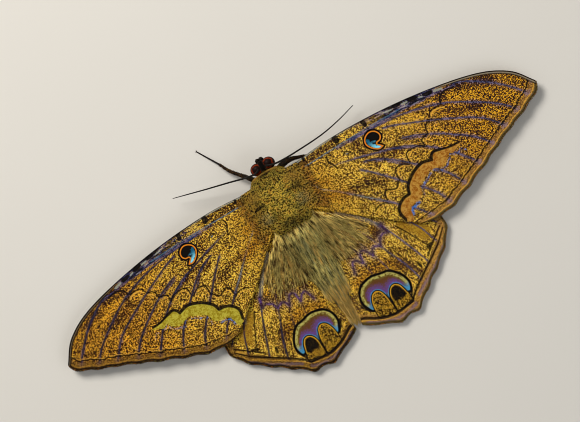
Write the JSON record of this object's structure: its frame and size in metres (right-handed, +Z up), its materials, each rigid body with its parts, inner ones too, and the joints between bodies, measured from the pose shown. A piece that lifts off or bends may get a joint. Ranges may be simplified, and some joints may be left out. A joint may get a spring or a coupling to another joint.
{
  "type": "black witch moth",
  "caption": "Large noctuid moth at rest, wings spread flat, with veined scalloped wings, furry body, slender feelers and legs.",
  "frame": {"origin": "on the surface that the moth stands on, under the centre of its bounding box", "axes": "+Z up from that surface; the head faces -Y and the tail +Y; the moth's own left side is +X"},
  "size_m": [0.1504, 0.0701, 0.0113],
  "materials": {
    "wing": "scaly, dull, speckled brown",
    "thorax": "dense olive-brown fur",
    "abdomen": "long greyish-olive hair",
    "eye": "glossy dark red",
    "limb": "dull dark brown"
  },
  "bodies": {
    "root": {"thorax": "thorax", "head": "thorax", "abdomen": "abdomen", "proboscis": "limb", "eye_left": "eye", "forewing_left": "wing", "hindwing_left": "wing", "palp_left": "thorax", "antenna_left": "limb", "leg_front_left": "limb", "leg_middle_left": "limb", "leg_hind_left": "limb", "eye_right": "eye", "forewing_right": "wing", "hindwing_right": "wing", "palp_right": "thorax", "antenna_right": "limb", "leg_front_right": "limb", "leg_middle_right": "limb", "leg_hind_right": "limb"}
  },
  "joints": []
}
